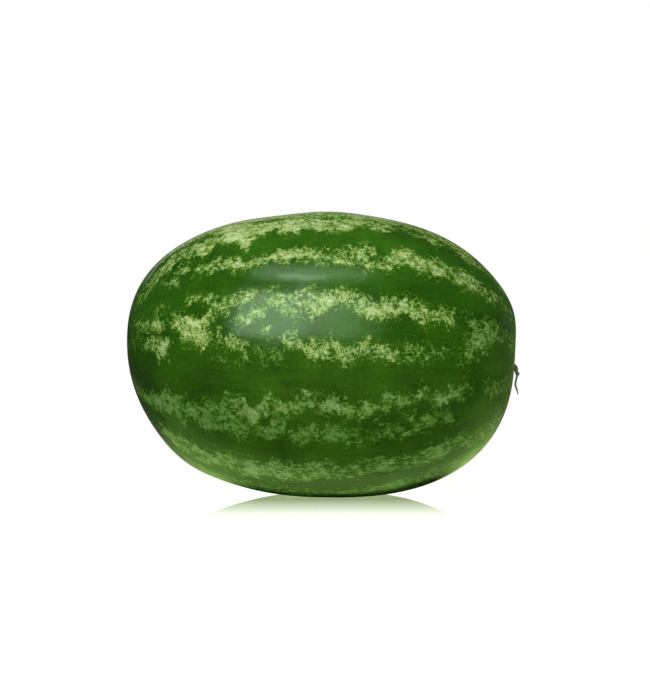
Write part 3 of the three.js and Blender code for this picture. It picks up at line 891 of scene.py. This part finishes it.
@dataclass(frozen=True)
class GlossyWhiteSheet:
    """Glossy white plastic sheet under the fruit: white all over, and a faint mirror close to the fruit. Its
    glow also paints light: a pool of light under the fruit for its underside and its gloss, shade along its
    foot in that gloss, and the fruit's green bounce in the mirroring part.
    """

    paper: str = "#F4F4F2"
    glow: Span = (0.985, 1.0)  # lifts the open floor to white, as a lit sheet is, near by and far off
    far_mm: Span = (300.0, 900.0)
    dimmed: str = "#3A3A3A"  # what the fruit's gloss sees of the sheet, as if it ended close by
    pool_mm: Span = (212.0, 85.0)  # half axes of the patch of painted light under the fruit, where the sheet glows
    pool_at_mm: float = -15.0
    pool_turn: float = 8.0  # degrees
    pool_edge: Span = (0.88, 1.12)  # fades between these shares of them
    pool_light: float = 1.25
    pool_gloss: float = 0.98
    pool_left_mm: Span = (-170.0, -30.0)  # where its gloss is weak, and where it is full
    pool_left: float = 0.42
    shade_line: Span = (-28.0, 75.0)  # the line that the fruit's gloss sees in shade
    shade_aside_mm: float = 8.0
    shade_mm: Span = (32.0, 67.0)
    wide_at_mm: float = 80.0  # the glow round the pool, stronger on the stalk side
    wide_mm: Span = (80.0, 300.0)
    wide_gloss: Span = (0.86, 0.18)
    wide_fades: tuple[tuple[str, Span, float], ...] = (
        # axis, where it is least and where it is full, the least
        ("Y", (-110.0, -60.0), 0.0),
        ("X", (-250.0, -180.0), 0.15),
    )
    gloss_hue: Colour = (0.64, 1.0, 0.26, 1.0)  # the sheet carries the green that the fruit throws on it
    mirror: float = 0.8  # at the fruit's foot, fading to nothing round it
    mirror_line: Span = (-68.0, 92.0)  # the line that the fruit rests on
    mirror_to_mm: Span = (26.0, 106.5)  # out from it
    bounce: Colour = (0.09, 0.16, 0.0, 1.0)  # the green light that the fruit throws on the mirroring part
    bounce_full: float = 0.05  # the share of mirror from which it is full
    first_bounce: float = 1.5  # a ray less deep than this has met one surface at most

    def off_line(self, tree: Tree, place: Socket, line: Span, aside: float) -> Socket:
        """Measures how far a point lies from a line under the fruit.

        Args:
            tree: the node tree.
            place: the point.
            line: where the line starts and ends along X, in millimetres.
            aside: how far its second half bends along Y, in millimetres.

        Returns:
            The distance, in metres.
        """
        start, end = (at * MM for at in line)
        x = add(tree, "SeparateXYZ", {0: place})
        nearest = add(tree, "Clamp", {0: x, 1: start, 2: end})
        bend = add(tree, "MapRange", graded(x, ((start + end) / 2, end), (0.0, aside * MM)))
        foot = add(tree, "CombineXYZ", {0: nearest, 1: bend})
        return add(tree, "VectorMath", {0: place, 1: foot}, "Value", operation="DISTANCE")

    def gloss(self, tree: Tree, place: Socket, pool: Socket) -> Socket:
        """Works out how bright the fruit's gloss sees the sheet.

        Args:
            tree: the node tree.
            place: the point on the sheet.
            pool: how far the point is in the lit patch, 0 to 1.

        Returns:
            The strength.
        """
        axes = add(tree, "SeparateXYZ", {0: place}).node.outputs
        ends = (self.pool_left * self.pool_gloss, self.pool_gloss)
        rise = add(tree, "MapRange", graded(axes["X"], self.pool_left_mm, ends, MM))
        near = add(tree, "Math", {0: pool, 1: rise}, operation="MULTIPLY")
        centre = (self.wide_at_mm * MM, 0.0, 0.0)
        out = add(tree, "VectorMath", {0: place, 1: centre}, "Value", operation="DISTANCE")
        wide = add(tree, "MapRange", graded(out, self.wide_mm, self.wide_gloss, MM))
        for axis, span, least in self.wide_fades:
            rise = add(tree, "MapRange", graded(axes[axis], span, (least, 1.0), MM))
            wide = add(tree, "Math", {0: wide, 1: rise}, operation="MULTIPLY")
        bright = add(tree, "Math", {0: near, 1: wide}, operation="MAXIMUM")
        off = self.off_line(tree, place, self.shade_line, self.shade_aside_mm)
        shade = add(tree, "MapRange", graded(off, self.shade_mm, unit=MM))
        return add(tree, "Math", {0: bright, 1: shade}, operation="MULTIPLY")

    def make(self) -> bpy.types.Material:
        """Builds the material.

        Returns:
            The sheet's material.
        """
        material = new_material("glossy_white_sheet")
        tree = material.node_tree
        place = add(tree, "NewGeometry", {}, "Position")
        ray = add(tree, "LightPath", {}).node.outputs
        seen, diffuse, glossy = (ray[f"Is {kind} Ray"] for kind in ("Camera", "Diffuse", "Glossy"))

        papers = {0: diffuse, 6: linear(self.dimmed), 7: linear(self.paper)}
        matt = add(tree, "BsdfDiffuse", {"Color": add(tree, "Mix", papers, 2, data_type="RGBA")})
        out = add(tree, "VectorMath", {0: place}, "Value", operation="LENGTH")
        far = add(tree, "MapRange", graded(out, self.far_mm, self.glow, MM))
        lit = add(tree, "Math", {0: seen, 1: far}, operation="MULTIPLY")
        oval = {
            "Vector": place,
            "Location": (self.pool_at_mm * MM, 0.0, 0.0),
            "Rotation": (0.0, 0.0, math.radians(self.pool_turn)),
            "Scale": (self.pool_mm[0] * MM, self.pool_mm[1] * MM, 1.0),
        }
        out = add(tree, "Mapping", oval, vector_type="TEXTURE")
        out = add(tree, "VectorMath", {0: out}, "Value", operation="LENGTH")
        pool = add(tree, "MapRange", graded(out, self.pool_edge, (1.0, 0.0)))
        first = add(tree, "Math", {0: ray["Ray Depth"], 1: self.first_bounce}, operation="LESS_THAN")
        gloss = self.gloss(tree, place, pool)
        for kind, value, strength in ((diffuse, pool, self.pool_light), (glossy, gloss, first)):
            value = add(tree, "Math", {0: value, 1: strength}, operation="MULTIPLY")
            lit = add(tree, "Math", {0: kind, 1: value, 2: lit}, operation="MULTIPLY_ADD")
        hue = add(tree, "Mix", {0: glossy, 6: WHITE, 7: self.gloss_hue}, 2, data_type="RGBA")
        glow = add(tree, "Emission", {"Color": hue, "Strength": lit})
        sheet = add(tree, "AddShader", {0: matt, 1: glow})

        off = self.off_line(tree, place, self.mirror_line, 0.0)
        share = add(tree, "MapRange", graded(off, self.mirror_to_mm, (self.mirror, 0.0), MM))
        shown = add(tree, "Math", {0: share, 1: seen}, operation="MULTIPLY")
        mirror = add(tree, "BsdfGlossy", {"Color": WHITE, "Roughness": 0.0})
        both = add(tree, "MixShader", {0: shown, 1: sheet, 2: mirror})
        cast = add(tree, "MapRange", graded(shown, (0.0, self.bounce_full)))
        bounce = add(tree, "Emission", {"Color": self.bounce, "Strength": cast})
        add(tree, "OutputMaterial", {"Surface": add(tree, "AddShader", {0: both, 1: bounce})})
        return material


# ---------------------------------------------------------------------------------------------- the pieces


@dataclass
class Melon:
    """The whole fruit: skin, stripes, the dimple at the stalk and the scar of the blossom."""

    form: FruitForm = field(default_factory=FruitForm)
    pattern: StripePattern = field(default_factory=StripePattern)
    finish: WaxyRind = field(default_factory=WaxyRind)
    rings: int = 340
    sides: int = 260
    pole_crowding: float = 3.0
    # Low rings round the poles: radius, width, height.
    scar: tuple[float, float, float] = (4.2, 1.1, 0.9)  # the corky ring where the blossom sat
    button: tuple[float, float, float] = (0.0, 1.4, 0.6)  # and its middle
    collar: tuple[float, float, float] = (5.0, 1.3, 0.7)  # the skin's rim round the stalk
    cork_radius: Span = (6.0, 6.5)  # at the blossom and at the stalk
    cork_fade: float = 2.5
    cork_share: float = 0.85
    spot_at: float = 12.0  # the straw-coloured spot that the fruit lies on, on its flat alone
    spot_half: Span = (32.0, 15.0)
    spot_top: float = 20.0
    spot_edge: Span = (1.15, 0.5)  # where it ends, and over how much it fades
    spot_share: float = 0.8

    def pole_relief(self, along: np.ndarray, girth: np.ndarray) -> np.ndarray:
        """Gives the low rings at the poles.

        Args:
            along: places along the axis.
            girth: the ring's radius at each place, in millimetres.

        Returns:
            How far the skin stands out of the dimple, in millimetres.
        """
        scar, button, collar = (
            height * np.exp(-(((girth - radius) / width) ** 2))
            for radius, width, height in (self.scar, self.button, self.collar)
        )
        return np.where(along < 0, scar + button, collar)

    def build(self) -> bpy.types.Object:
        """Builds the fruit's mesh, with what its material reads.

        Returns:
            The mesh object.
        """
        at = self.form.even_rings(self.rings, self.pole_crowding)
        along = np.concatenate([np.repeat(at, self.sides), [-1, 1]])
        bearing = np.concatenate([np.tile(np.arange(self.sides) * 360 / self.sides, self.rings), [0, 0]])
        girth = self.form.ring_radius(along)
        points = self.form.skin(along, bearing, self.pole_relief(along, girth))
        piece = new_piece("watermelon", points, turned_faces(self.rings, self.sides))
        cover, tone = self.pattern.paint(along, bearing, girth)
        cork = np.clip((np.where(along < 0, *self.cork_radius) - girth) / self.cork_fade, 0, 1)
        wide, deep = self.spot_half
        off_spot = np.hypot((points[:, 0] - self.spot_at) / wide, points[:, 1] / deep)
        edge, fade = self.spot_edge
        spot = np.clip((edge - off_spot) / fade, 0, 1) * self.spot_share
        for name, values in (
            ("stripe_cover", cover),
            ("stripe_tone", tone),
            ("place", points),
            ("grain", self.form.round_axis(along, bearing, self.form.radius)),
            ("pole_cork", cork * self.cork_share),
            ("ground_spot", np.where(points[:, 2] < self.spot_top, spot, 0)),
        ):
            store(piece, name, values)
        return piece

    def dress(self, piece: bpy.types.Object) -> None:
        """Gives the fruit its skin, and puts it in the place of its solid.

        Args:
            piece: the fruit's mesh object.
        """
        piece.data.materials.append(self.finish.make())
        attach(piece, "root")
        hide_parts("melon")


@dataclass
class Stalk:
    """The dry end of the stalk: a foot, a knobbly neck and a curl."""

    foot: tuple[float, float, float] = (162.4, 5.0, 118.2)  # the stalk pole of the fruit
    finish: DriedStalk = field(default_factory=DriedStalk)
    line: tuple[tuple[float, float, float, float], ...] = (
        # out from the pole, towards the back, up from the pole, radius
        (-2.6, 0, 0.9, 3.5), (-0.8, 0, 0.9, 3.4), (0, 0, 0.8, 2.7), (1, 0, -0.3, 2), (1.4, 0.1, -2.6, 1.8),
        (1.8, 0.1, -5.2, 1.6), (2.8, 0.1, -7.5, 1.4), (4.3, 0, -9.2, 1.5), (5.2, -0.2, -11, 1.9),
        (5.5, -0.3, -13.5, 1.5), (6.4, -0.4, -15.7, 1.7), (6, -0.5, -17.7, 0.9), (5.4, -0.6, -19.9, 0.8),
        (4.8, -0.8, -24, 0.8), (5.2, -0.9, -26.6, 0.8), (6.2, -1, -29.5, 0.7), (7.2, -1, -33, 0.4),
    )
    sides: int = 40
    steps: int = 14  # rings between two points of the line
    twist: float = 1.1  # turns of the ribs over the whole length
    ribs: tuple[tuple[float, int, float], ...] = (
        # share of the radius, number, phase
        (0.13, 5, 0.0),
        (0.052, 3, 1.3),
    )
    pinches: tuple[tuple[float, float, float], ...] = (
        # share, radians per millimetre, phase
        (0.07, 1.9, 0.0),
        (0.05, 4.3, 1.0),
    )
    wrinkle: float = 0.02  # share of the radius
    seed: int = 5
    grain_radius: float = 1.6
    knob_mm: Span = (6.0, 21.0)  # the dark, knobbly stretch
    knob_edge: float = 1.4  # where it ends, in half lengths from its middle
    knob_share: float = 0.6

    def curve(self) -> np.ndarray:
        """Draws a smooth curve through the line's points.

        Returns:
            One row of X, Y, Z and radius for each ring.
        """
        knots = np.array(self.line, dtype=float)
        padded = np.vstack([2 * knots[0] - knots[1], knots, 2 * knots[-1] - knots[-2]])
        rows = []
        for i in range(len(knots) - 1):
            before, start, end, after = padded[i : i + 4]
            slope = end - before
            bend = 2 * before - 5 * start + 4 * end - after
            twist = 3 * start - before - 3 * end + after
            for t in np.arange(self.steps) / self.steps:
                rows.append(0.5 * (2 * start + slope * t + bend * t**2 + twist * t**3))
        curve = np.array([*rows, knots[-1]])
        curve[:, :3] += np.array(self.foot)
        return curve

    def build(self) -> bpy.types.Object:
        """Builds the stalk's mesh: a twisted, ribbed tube that shrivels towards its tip.

        Returns:
            The mesh object.
        """
        curve = self.curve()
        centre, radius = curve[:, :3], curve[:, 3]
        tangent = np.gradient(centre, axis=0)
        tangent /= np.linalg.norm(tangent, axis=1, keepdims=True)
        travelled = np.concatenate([[0], np.cumsum(np.linalg.norm(np.diff(centre, axis=0), axis=1))])
        pinch = 1 + sum(share * np.sin(travelled * pace + phase) for share, pace, phase in self.pinches)
        angle = np.arange(self.sides) / self.sides * 2 * math.pi
        wrinkle = np.random.default_rng(self.seed).normal(0, self.wrinkle, (len(centre), self.sides))
        across = np.array([0.0, 1.0, 0.0])
        points, grain = [], []
        for i, (middle, along) in enumerate(zip(centre, tangent)):
            across = across - along * float(across @ along)
            across /= np.linalg.norm(across)
            other = np.cross(along, across)
            turn = angle + self.twist * 2 * math.pi * travelled[i] / travelled[-1]
            ridge = 1 + sum(share * np.cos(number * turn + phase) for share, number, phase in self.ribs)
            reach = radius[i] * pinch[i] * (ridge + wrinkle[i])
            spoke = np.cos(angle)[:, None] * across + np.sin(angle)[:, None] * other
            points.append(middle + reach[:, None] * spoke)
            rim = self.grain_radius * np.array([np.cos(turn), np.sin(turn)])
            grain.append(np.stack([np.full(self.sides, travelled[i]), *rim], axis=-1))
        points += [centre[:1], centre[-1:]]
        grain += [np.array([[0.0, 0, 0]]), np.array([[travelled[-1], 0, 0]])]
        piece = new_piece("dry_stalk_end", np.vstack(points), turned_faces(len(centre), self.sides))
        store(piece, "grain", np.vstack(grain))
        start, end = self.knob_mm
        off_knob = np.abs(travelled - (start + end) / 2) / ((end - start) / 2)
        dark = np.clip(self.knob_edge - off_knob, 0, 1) * self.knob_share
        store(piece, "knob", np.concatenate([np.repeat(dark, self.sides), [dark[0], dark[-1]]]))
        return piece

    def dress(self, piece: bpy.types.Object) -> None:
        """Gives the stalk its finish, and puts it in the place of its solid.

        Args:
            piece: the stalk's mesh object.
        """
        piece.data.materials.append(self.finish.make())
        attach(piece, "root")
        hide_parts("stem")


# ---------------------------------------------------------------------------------------------- the studio


@dataclass(frozen=True)
class Softbox:
    """A soft area light that stands round the fruit and faces it."""

    name: str
    azimuth: float  # degrees from the front, towards the stalk end
    elevation: float
    width: float  # metres
    height: float
    radiance: float
    across: float = 0.0  # metres that it is slid sideways in its own plane
    up: float = 0.0
    tilt: float = 0.0  # degrees that it is turned in its own plane
    distance: float = 1.5  # metres from the fruit's middle
    seen_in_gloss: bool = True
    lights_skin: bool = True

    def build(self, target: Vector) -> bpy.types.Object:
        """Makes the light.

        Args:
            target: the point it faces.

        Returns:
            The light object.
        """
        lamp = bpy.data.lights.new(self.name, "AREA")
        lamp.shape = "RECTANGLE"
        lamp.size, lamp.size_y = self.width, self.height
        lamp.energy = self.radiance * math.pi * self.width * self.height
        made = bpy.data.objects.new(self.name, lamp)
        azimuth, elevation = math.radians(self.azimuth), math.radians(self.elevation)
        level = math.cos(elevation)
        way = Vector((math.sin(azimuth) * level, -math.cos(azimuth) * level, math.sin(elevation)))
        facing = way.to_track_quat("Z", "Y")
        made.location = target + way * self.distance + facing @ Vector((self.across, self.up, 0))
        made.rotation_euler = (facing @ Quaternion((0, 0, 1), math.radians(self.tilt))).to_euler()
        made.visible_camera = False
        made.visible_glossy = self.seen_in_gloss
        made.visible_diffuse = self.lights_skin
        bpy.context.scene.collection.objects.link(made)
        return made


@dataclass
class Studio:
    """The floor, the lights and the camera."""

    target: tuple[float, float, float] = (4.95, 0.0, 123.6)  # what the camera faces
    distance: float = 1500.0
    elevation: float = 5.0
    focal_px: float = 1768.8  # the focal length, in pixels
    long_side_px: int = 700
    sensor: float = 36.0
    floor_half: float = 6000.0
    floor_drop: float = 0.2  # keeps it clear of the fruit's flat
    fill: float = 0.09  # how bright the surrounding is
    fill_tint: Colour = (0.6, 1.0, 0.32, 1.0)
    sheet: GlossyWhiteSheet = field(default_factory=GlossyWhiteSheet)
    lights_face: tuple[float, float, float] = (0.0, 0.0, 0.12)  # in metres
    softboxes: tuple[Softbox, ...] = (
        # name, azimuth, elevation, width, height, radiance, across, up, tilt, distance
        Softbox("window", -20, 33, 0.8, 0.95, 4.65, 0.04, 0.075),
        Softbox("window_right", -20, 33, 0.3, 0.92, 1.8, 0.6, 0.09, distance=1.49),
        Softbox("overhead", 0, 84, 1.0, 1.0, 4.0, seen_in_gloss=False),
        Softbox("front_fill", 10, 8, 1.6, 0.9, 1.0, distance=2.2, seen_in_gloss=False),
        Softbox("back_fill", 180, 35, 2.4, 0.9, 1.0, distance=2.0, seen_in_gloss=False),
        # These only show in the gloss.
        Softbox("window_flank", -20, 33, 1.72, 0.95, 0.8, 0.24, 0.1, 0, 1.6, lights_skin=False),
        Softbox("window_foot", -20, 33, 0.2, 0.2, 1.6, 0.1, -0.5, 0, 1.48, lights_skin=False),
        Softbox("overhead_pane", -20, 78, 0.82, 0.26, 2.5, 0.06, -0.14, 12, lights_skin=False),
        Softbox("overhead_strip", -20, 78, 0.34, 0.09, 10.5, 0.06, -0.27, 12, 1.45, lights_skin=False),
        Softbox("overhead_glint", -20, 78, 0.07, 0.3, 6.5, 0.21, -0.55, 12, 1.45, lights_skin=False),
        Softbox("back_rim", 180, 16, 1.6, 0.2, 0.4, 0.5, distance=2.0, lights_skin=False),
        Softbox("right_rim", 118, 0, 2.2, 0.8, 0.045, distance=2.0, lights_skin=False),
    )

    def build_floor(self) -> bpy.types.Object:
        """Lays the white sheet.

        Returns:
            The floor, which isn't part of the object.
        """
        corners = np.array([[-1.0, -1, 0], [1, -1, 0], [1, 1, 0], [-1, 1, 0]]) * self.floor_half
        corners[:, 2] = -self.floor_drop
        floor = new_piece("white_sheet", corners, [(0, 1, 2, 3)])
        floor.data.materials.append(self.sheet.make())
        return floor

    def build_lights(self) -> None:
        """Stands the softboxes up in a dim surrounding, which only the camera and the mirror see as white."""
        for softbox in self.softboxes:
            softbox.build(Vector(self.lights_face))
        world = bpy.data.worlds.new("pale_surround")
        bpy.context.scene.world = world
        world.use_nodes = True
        tree = world.node_tree
        tree.nodes.clear()
        ray = add(tree, "LightPath", {}).node.outputs
        clear = add(tree, "Math", {0: ray["Is Camera Ray"], 1: ray["Is Singular Ray"]}, operation="MAXIMUM")
        strength = add(tree, "MapRange", {0: clear, 3: self.fill, 4: 1.0})
        hue = add(tree, "Mix", {0: clear, 6: self.fill_tint, 7: WHITE}, 2, data_type="RGBA")
        sky = add(tree, "Background", {"Color": hue, "Strength": strength})
        add(tree, "OutputWorld", {"Surface": sky})

    def build_camera(self) -> bpy.types.Object:
        """Sets up the camera.

        Returns:
            The scene's camera.
        """
        data = bpy.data.cameras.new("camera")
        data.sensor_width = self.sensor
        data.lens = self.focal_px / self.long_side_px * self.sensor
        data.dof.use_dof = False
        camera = bpy.data.objects.new("camera", data)
        tilt = math.radians(self.elevation)
        way = Vector((0, -math.cos(tilt), math.sin(tilt)))
        camera.location = (Vector(self.target) + way * self.distance) * MM
        camera.rotation_euler = way.to_track_quat("Z", "Y").to_euler()
        bpy.context.scene.collection.objects.link(camera)
        bpy.context.scene.camera = camera
        return camera


def main() -> None:
    """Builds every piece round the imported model."""
    logging.basicConfig(level=logging.INFO, format="%(message)s")
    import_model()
    bpy.context.scene.view_settings.view_transform = "Standard"
    studio = Studio()
    studio.build_camera()
    LOG.info("stripes in front: %s", ", ".join(stripe.name for stripe in FRONT_STRIPES))
    for builder in (Melon(), Stalk()):
        piece = builder.build()
        builder.dress(piece)
        LOG.info("%s: %d faces", piece.name, len(piece.data.polygons))
    studio.build_floor()
    studio.build_lights()
    LOG.info("floor, %d softboxes", len(studio.softboxes))


if __name__ == "__main__":
    main()
